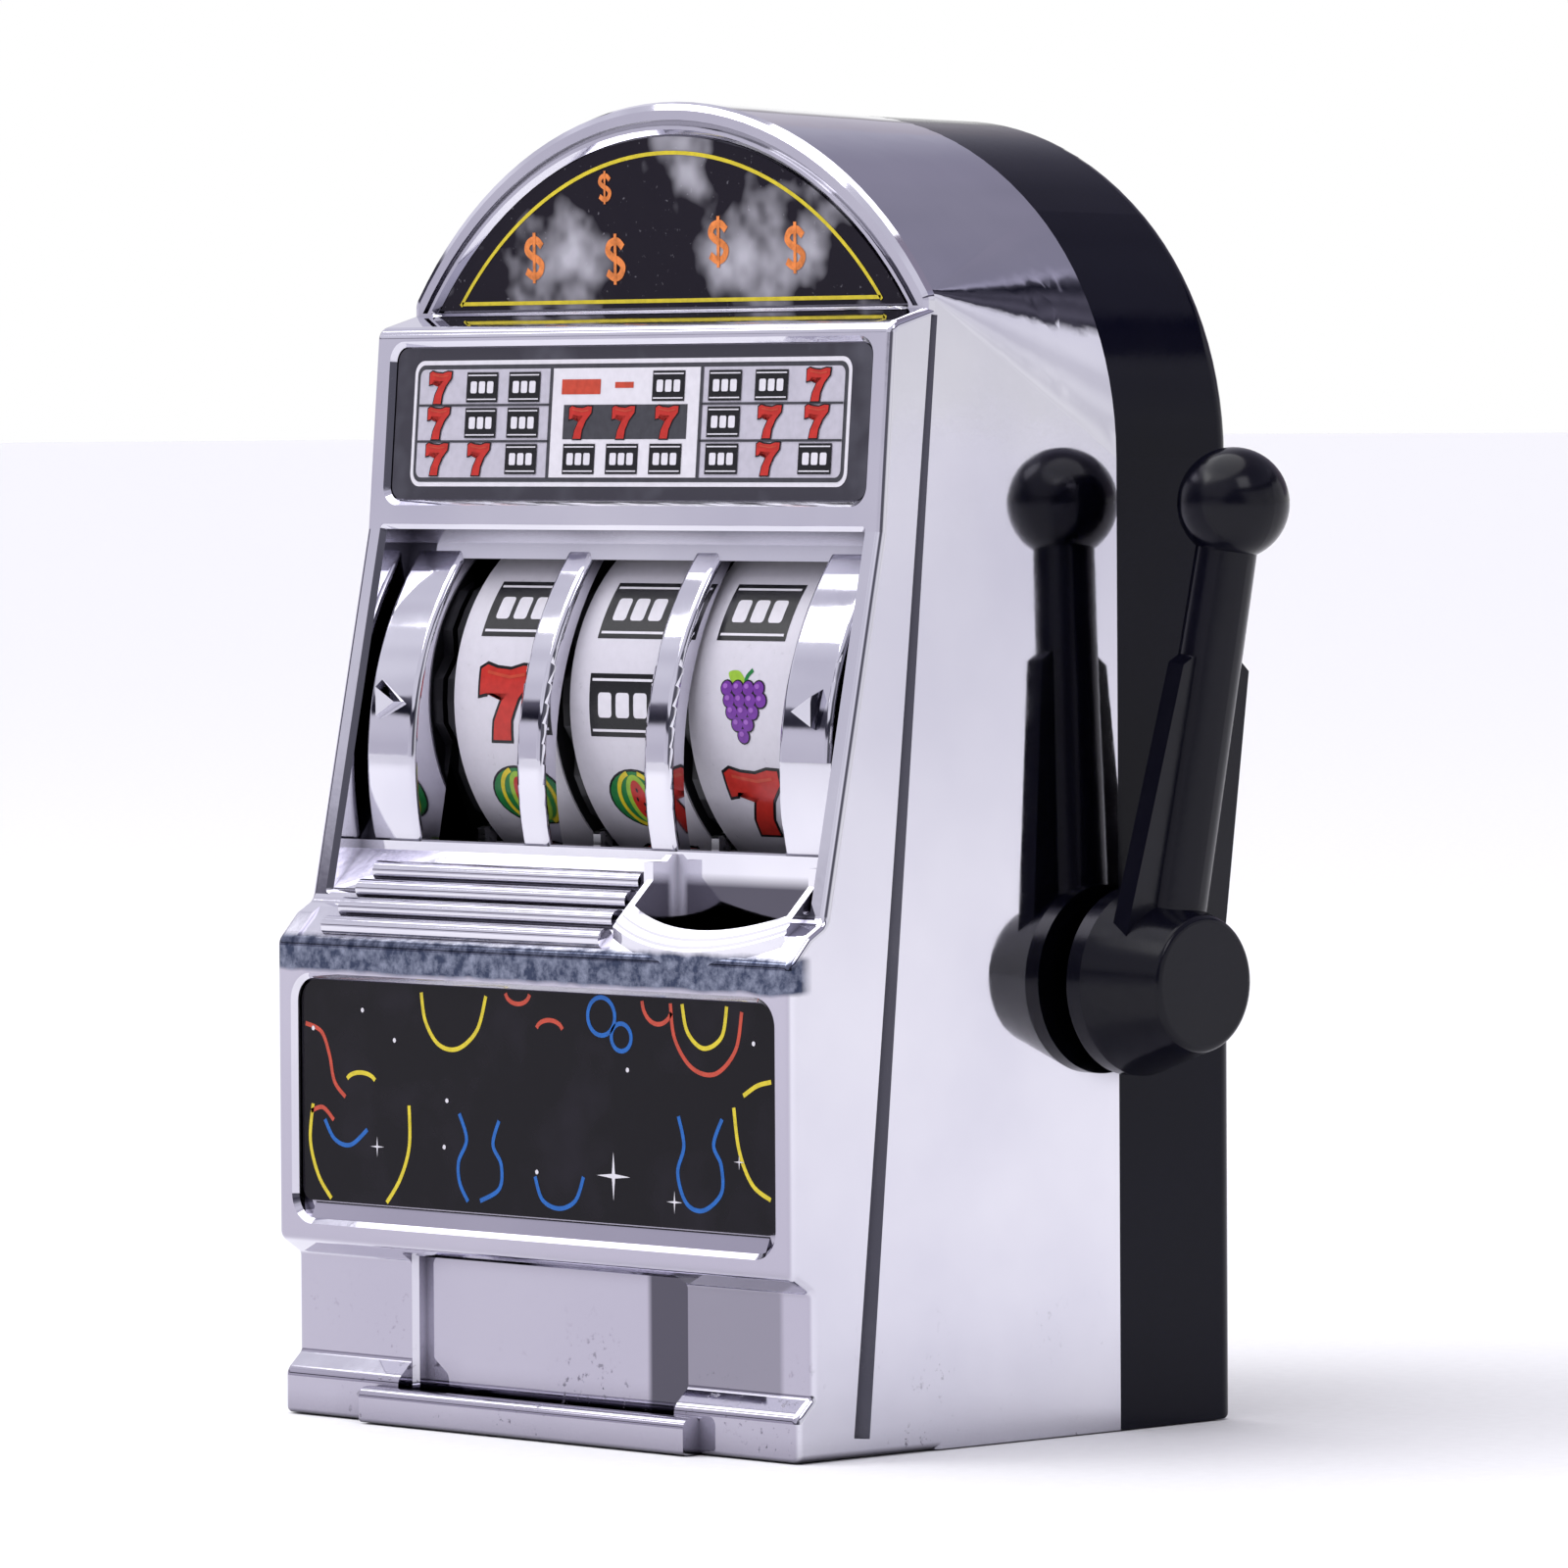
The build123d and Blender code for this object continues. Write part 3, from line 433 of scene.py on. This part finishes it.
def area_of(points):
    """Area inside an outline, negative when it runs clockwise."""
    pairs = zip([points[-1]] + points[:-1], points)
    return sum(a[0] * b[1] - b[0] * a[1] for a, b in pairs) / 2


def grown(points, by):
    """A closed outline moved outwards by a distance."""
    if area_of(points) < 0:
        points = points[::-1]
    out = []
    for i, point in enumerate(points):
        here = Vector(point)
        before = (here - Vector(points[i - 1])).normalized()
        after = (Vector(points[(i + 1) % len(points)]) - here).normalized()
        sides = Vector((before.y, -before.x)), Vector((after.y, -after.x))
        mitre = (sides[0] + sides[1]).normalized()
        out.append(tuple(here + mitre * (by / max(0.45, mitre.dot(sides[0])))))
    return out


def oval(x, y, rx, ry, count=28):
    return [(x + rx * cos(2 * pi * k / count), y + ry * sin(2 * pi * k / count)) for k in range(count)]


def box(x_low, y_low, x_high, y_high):
    return [(x_low, y_low), (x_high, y_low), (x_high, y_high), (x_low, y_high)]


def round_box(x_low, y_low, x_high, y_high, radius, steps=6):
    corners = [(x_high - radius, y_low + radius, -90), (x_high - radius, y_high - radius, 0),
               (x_low + radius, y_high - radius, 90), (x_low + radius, y_low + radius, 180)]
    points = []
    for x, y, start in corners:
        for k in range(steps + 1):
            angle = radians(start + 90 * k / steps)
            points.append((x + radius * cos(angle), y + radius * sin(angle)))
    return points


def smooth(points, steps=8, closed=False):
    """A smooth line through a few points."""
    count = len(points)
    out = []
    for i in range(count if closed else count - 1):
        near = [(i + k) % count if closed else min(max(i + k, 0), count - 1) for k in (-1, 0, 1, 2)]
        a, b, c, d = (Vector(points[j]) for j in near)
        for k in range(steps):
            t = k / steps
            out.append(tuple(0.5 * ((2 * b) + (c - a) * t + (2 * a - 5 * b + 4 * c - d) * t * t
                                    + (3 * b - a - 3 * c + d) * t ** 3)))
    if not closed:
        out.append(tuple(points[-1]))
    return out


def arc(x, y, rx, ry, start, stop, steps=24):
    return [(x + rx * cos(radians(start + (stop - start) * k / steps)),
             y + ry * sin(radians(start + (stop - start) * k / steps))) for k in range(steps + 1)]


class Print:
    """Flat printed shapes on one surface, kept as one mesh."""

    def __init__(self, name, body, slot, place, cut=None):
        self.name, self.body, self.slot, self.place, self.cut = name, body, slot, place, cut
        self.mesh = bmesh.new()
        self.colours = []
        self.shift, self.size = (0.0, 0.0), 1.0

    def at(self, x, y, size=1.0):
        self.shift, self.size = (x, y), size
        return self

    def face(self, flat, colour, layer):
        if colour not in self.colours:
            self.colours.append(colour)
        if self.cut:
            heights = [v.co.y for v in flat.verts]
            level = (int(min(heights) / self.cut) - 1) * self.cut
            while level < max(heights):
                bmesh.ops.bisect_plane(flat, geom=flat.verts[:] + flat.edges[:] + flat.faces[:],
                                       plane_co=(0, level, 0), plane_no=(0, 1, 0))
                level += self.cut
        copies = {v: self.mesh.verts.new(self.place(v.co.x, v.co.y, layer * LAYER)) for v in flat.verts}
        for f in flat.faces:
            made = self.mesh.faces.new([copies[v] for v in f.verts])
            made.material_index = self.colours.index(colour)
            made.smooth = True
        flat.free()

    def fill(self, points, colour, layer=1):
        """A filled closed outline."""
        points = [(self.shift[0] + self.size * x, self.shift[1] + self.size * y) for x, y in points]
        if area_of(points) < 0:
            points = points[::-1]
        flat = bmesh.new()
        flat.faces.new([flat.verts.new((x, y, 0)) for x, y in points])
        bmesh.ops.triangulate(flat, faces=flat.faces[:])
        self.face(flat, colour, layer)

    def line(self, points, width, colour, layer=1, closed=False):
        """A ribbon of even width along a line of points."""
        points = [(self.shift[0] + self.size * x, self.shift[1] + self.size * y) for x, y in points]
        count = len(points)
        sides = []
        for i in range(count):
            last = points[i - 1] if closed or i else points[0]
            following = points[(i + 1) % count] if closed or i < count - 1 else points[-1]
            run = (Vector(following) - Vector(last)).normalized()
            across = Vector((run.y, -run.x)) * (width * self.size / 2)
            sides.append((Vector(points[i]) + across, Vector(points[i]) - across))
        flat = bmesh.new()
        pairs = [(flat.verts.new((a.x, a.y, 0)), flat.verts.new((b.x, b.y, 0))) for a, b in sides]
        for i in range(count if closed else count - 1):
            a, b = pairs[i], pairs[(i + 1) % count]
            flat.faces.new((a[0], b[0], b[1], a[1]))
        self.face(flat, colour, layer)

    def done(self):
        mesh = bpy.data.meshes.new(self.name)
        self.mesh.to_mesh(mesh)
        self.mesh.free()
        for colour in self.colours:
            mesh.materials.append(INKS[colour])
        piece = bpy.data.objects.new(self.name, mesh)
        bpy.context.scene.collection.objects.link(piece)
        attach(piece, self.body)


SEVEN = [(-2.6, 2.3), (-2.0, 2.6), (-1.0, 2.35), (0.4, 2.25), (1.6, 2.55), (2.6, 2.5), (2.5, 1.5), (1.3, 0.3),
         (0.5, -1.2), (0.3, -2.6), (-1.5, -2.6), (-1.2, -1.3), (-0.4, 0.1), (0.7, 1.05), (-0.6, 1.05),
         (-1.6, 1.2), (-2.0, 0.6), (-2.6, 0.5)]


def seven(art, layer=1):
    art.fill(grown(SEVEN, 0.22), "black", layer)
    art.fill(SEVEN, "red", layer + 1)
    art.line([(-1.9, 2.1), (-1.0, 1.95), (0.4, 1.75), (1.9, 1.95)], 0.22, "coral", layer + 2)


def bars(art, layer=1):
    """A dark plaque with two thin rules and three plain light bars."""
    art.fill(box(-3.3, -2.15, 3.3, 2.15), "black", layer)
    for y in (-1.72, 1.72):
        art.fill(box(-3.05, y - 0.09, 3.05, y + 0.09), "white", layer + 1)
    for x in (-1.75, 0, 1.75):
        art.fill(round_box(x - 0.66, -0.85, x + 0.66, 0.85, 0.25, 3), "white", layer + 1)


def melon(art, layer=1):
    art.fill(oval(0, 0, 3.0, 2.35), "black", layer)
    art.fill(oval(0, 0, 2.82, 2.17), "green", layer + 1)
    for start in (105, -75):
        art.line(arc(0, 0, 1.9, 2.1, start, start + 150), 0.35, "yellow", layer + 2)
    art.fill(oval(0, 0, 1.15, 1.95), "lime", layer + 2)
    art.fill(oval(0, 0, 0.72, 1.55), "red", layer + 3)
    for x, y in ((0, 0.8), (-0.25, 0.1), (0.25, -0.3), (0, -0.95)):
        art.fill(oval(x, y, 0.1, 0.18, 8), "black", layer + 4)


def grapes(art, layer=1):
    art.line(smooth([(0.2, 1.5), (0.3, 2.1), (0.8, 2.6)]), 0.32, "green", layer)
    art.fill(smooth([(0.2, 1.7), (-0.5, 2.5), (-1.5, 2.4), (-1.0, 1.7)], 5, True), "lime", layer)
    rows = ((1.35, 4, 0.0), (0.55, 4, 0.25), (-0.25, 3, 0.0), (-1.05, 2, 0.0), (-1.85, 1, 0.0))
    for y, count, aside in rows:
        for k in range(count):
            x = (k - (count - 1) / 2) * 1.02 + aside
            art.fill(oval(x, y, 0.62, 0.58, 16), "black", layer + 1)
            art.fill(oval(x, y, 0.52, 0.48, 16), "purple", layer + 2)
            art.fill(oval(x - 0.13, y + 0.14, 0.22, 0.18, 10), "violet", layer + 3)


def cherries(art, layer=1):
    art.line(smooth([(-1.2, -0.6), (-0.6, 1.2), (0.9, 2.5)]), 0.26, "green", layer)
    art.line(smooth([(1.3, -0.8), (1.3, 1.0), (0.9, 2.5)]), 0.26, "green", layer)
    for x, y in ((-1.3, -1.1), (1.3, -1.3)):
        art.fill(oval(x, y, 1.15, 1.1), "black", layer + 1)
        art.fill(oval(x, y, 1.0, 0.95), "red", layer + 2)
        art.fill(oval(x - 0.3, y + 0.35, 0.25, 0.2, 12), "white", layer + 3)


def flat_front(node, raised=0.0):
    """Placing function for a flat label: x across and y up from its middle, or from a point above that."""
    mesh = nodes[node].data
    faces = [p for p in mesh.polygons if p.normal.y < -0.7]
    normal = sum((p.normal * p.area for p in faces), Vector()).normalized()
    low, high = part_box(node)
    rise = normal.cross(Vector((-1, 0, 0))).normalized()
    rise = rise if rise.z > 0 else -rise
    reach = max(normal.dot(mesh.vertices[i].co) for p in faces for i in p.vertices)
    middle = (low + high) / 2
    middle += normal * (reach - normal.dot(middle))

    def place(x, y, lift):
        return middle + Vector((x * MM, 0, 0)) + rise * ((y + raised) * MM) + normal * (lift * MM)

    return place


def drum_front(node):
    """Placing function for a reel strip: x across and y round the drum, upwards from the pay line."""
    low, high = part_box(node)
    middle = (low + high) / 2
    radius = (high.z - low.z) / 2

    def place(x, y, lift):
        angle = y * MM / radius
        reach = radius + lift * MM
        return middle + Vector((x * MM, -reach * cos(angle), reach * sin(angle)))

    return place, radius / MM


# reels: symbols in order upwards from the pay line
REELS = {
    "left": [seven, bars, cherries, melon, bars, grapes, seven, melon, bars, cherries, grapes, melon],
    "centre": [bars, bars, grapes, seven, cherries, melon, bars, grapes, cherries, bars, seven, melon],
    "right": [grapes, bars, melon, cherries, bars, seven, melon, bars, grapes, cherries, bars, seven],
}
for reel, symbols in REELS.items():
    wrap, radius = drum_front(f"reel_strip_{reel}")
    art = Print(f"reel_print_{reel}", f"reel_{reel}", "strip_print", wrap, cut=0.6)
    pitch = 2 * pi * radius / len(symbols)
    for k, symbol in enumerate(symbols):
        symbol(art.at(0.25, pitch * k, 0.98))
    art.done()

# belly label: neon loops, stars and dots
belly = Print("belly_print", "cabinet", "belly_print", flat_front("belly_label", -0.55))
NEON = 0.30  # mm wide
LOOPS = [
    ("yellow", [(-11.0, 7.5), (-10.6, 5.6), (-9.3, 4.1), (-7.4, 3.9), (-5.5, 5.2), (-4.6, 7.5)]),
    ("coral", arc(-1.5, 7.9, 1.2, 0.8, 190, 350, 8)),
    ("coral", arc(1.6, 5.4, 1.3, 0.75, 15, 165, 8)),
    ("coral", arc(12.0, 7.9, 1.5, 1.6, 185, 330, 8)),
    ("coral", [(13.2, 7.7), (13.6, 5.4), (15.2, 3.6), (17.4, 3.3), (19.3, 4.9), (19.9, 7.4)]),
    ("yellow", [(14.3, 7.7), (14.8, 5.9), (16.3, 4.9), (18.0, 5.7), (18.5, 7.7)]),
    ("coral", [(-22.7, 5.0), (-21.1, 4.5), (-20.3, 3.0), (-19.8, 1.2), (-18.7, 0.2)]),
    ("yellow", arc(-17.1, 1.2, 1.5, 0.7, 20, 160, 8)),
    ("coral", [(-22.2, -0.9), (-21.0, -0.6), (-19.9, -1.4)]),
    ("blue", [(-20.8, -1.4), (-19.8, -2.7), (-18.2, -3.0), (-16.5, -1.9)]),
    ("yellow", [(-22.0, -0.4), (-22.3, -2.9), (-21.5, -5.2), (-20.2, -6.7)]),
    ("yellow", [(-12.3, -0.1), (-12.3, -2.8), (-13.2, -5.0), (-14.6, -6.7)]),
    ("blue", [(-7.3, -0.4), (-6.6, -2.1), (-7.4, -3.6), (-7.3, -5.0), (-6.5, -6.2)]),
    ("blue", [(-3.4, -0.7), (-4.0, -2.3), (-3.2, -3.6), (-3.4, -5.2), (-5.3, -6.1)]),
    ("blue", [(13.9, 0.4), (14.4, -1.5), (13.8, -3.3), (14.6, -5.2), (16.2, -5.6), (17.9, -4.4), (17.9, -2.6),
              (17.2, -1.3), (18.0, 0.4)]),
    ("blue", [(0.1, -4.2), (0.8, -5.7), (2.4, -6.2), (4.0, -5.6), (4.8, -4.0)]),
    ("yellow", [(22.6, 3.0), (21.3, 2.7), (20.0, 2.0)]),
    ("yellow", [(19.1, 1.2), (19.6, -1.6), (20.8, -3.7), (22.5, -4.6)]),
]
for colour, points in LOOPS:
    belly.line(smooth(points), NEON, colour)
belly.line(oval(6.6, 6.6, 1.3, 1.25), NEON, "blue", closed=True)
belly.line(oval(8.5, 5.3, 0.95, 0.9), NEON, "blue", closed=True)
for x, y, size in ((7.7, -3.8, 1.6), (-15.5, -3.0, 0.7), (13.5, -5.2, 0.75), (19.6, -2.3, 0.5)):
    reach = [size * (1.0, 0.13)[k % 2] for k in range(8)]
    star = [(r * cos(pi * k / 4), r * sin(pi * k / 4)) for k, r in enumerate(reach)]
    belly.at(x, y).fill(star, "white", 2)
DOTS = [(-16.9, 6.1), (-21.9, 4.7), (-13.7, 4.2), (-8.5, 0.4), (-8.8, -2.7), (0.3, -3.9), (9.1, 3.2),
        (21.0, 5.4)]
for x, y in DOTS:
    belly.at(x, y).fill(oval(0, 0, 0.16, 0.16, 10), "white", 2)
belly.done()

# marquee: outline and currency signs
marquee_low, marquee_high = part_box("marquee_label")
tall = (marquee_high.z - marquee_low.z) / MM
marquee = Print("marquee_print", "cabinet", "marquee_print", flat_front("marquee_label"))
BORDER = 0.26  # mm wide
base = -tall / 2 + 0.45
crown = 25.9
edge = 20.3
centre = base - (crown ** 2 - edge ** 2) ** 0.5
bow = [(crown * sin(radians(a)), centre + crown * cos(radians(a))) for a in range(-52, 53, 2)]
marquee.line([(-edge, base), (edge, base)], BORDER, "yellow", 2)
marquee.line(bow, BORDER, "yellow", 2)
SIGN = [(0.8, 0.85), (0.2, 1.3), (-0.55, 1.15), (-0.8, 0.6), (-0.3, 0.15), (0.35, -0.12), (0.8, -0.55),
        (0.55, -1.15), (-0.1, -1.35), (-0.85, -0.95)]
SIGNS = [(-13.0, -2.2, 0.92), (-5.0, -2.4, 0.92), (5.0, -1.4, 0.92), (12.3, -1.9, 0.92), (-6.0, 2.4, 0.6)]
for x, y, size in SIGNS:
    marquee.at(x, y, size)
    marquee.line(smooth(SIGN), 0.55, "orange", 2)
    marquee.fill(box(-0.15, -1.85, 0.15, 1.85), "orange", 3)
marquee.done()

# pay table: frame line, three blocks of symbols
pay = Print("paytable_print", "cabinet", "paytable_print", flat_front("paytable_label"))
pay.fill(round_box(-21.2, -4.25, 21.2, 4.25, 0.9), "white", 1)
pay.fill(round_box(-20.9, -3.95, 20.9, 3.95, 0.7), "grey", 2)
pay.fill(round_box(-20.6, -3.65, 20.6, 3.65, 0.5), "pale", 3)
pay.fill(box(-7.3, -3.65, 7.0, 3.65), "white", 4)
pay.fill(box(-6.1, -1.1, 5.9, 1.2), "grey", 5)
for x in (-7.45, 7.15):
    pay.fill(box(x - 0.15, -3.65, x + 0.15, 3.65), "grey", 5)
for low, high in ((-20.6, -7.45), (7.15, 20.6)):
    for y in (-1.22, 1.22):
        pay.fill(box(low, y - 0.08, high, y + 0.08), "grey", 5)
CELLS = [
    ((-18.5, -14.3, -10.1), ((seven, bars, bars), (seven, bars, bars), (seven, seven, bars))),
    ((-4.4, -0.2, 4.0), ((None, None, bars), (seven, seven, seven), (bars, bars, bars))),
    ((9.4, 13.8, 18.2), ((bars, bars, seven), (bars, seven, seven), (bars, seven, bars))),
]
for columns, rows in CELLS:
    for y, row in zip((2.42, 0.02, -2.42), rows):
        for x, symbol in zip(columns, row):
            if symbol:
                symbol(pay.at(x, y, 0.42 if symbol is seven else 0.47), 6)
pay.at(0, 0)
pay.fill(box(-6.4, 1.9, -2.6, 2.9), "coral", 5)
pay.fill(box(-1.2, 2.3, 0.6, 2.7), "coral", 5)
pay.done()

low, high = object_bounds()
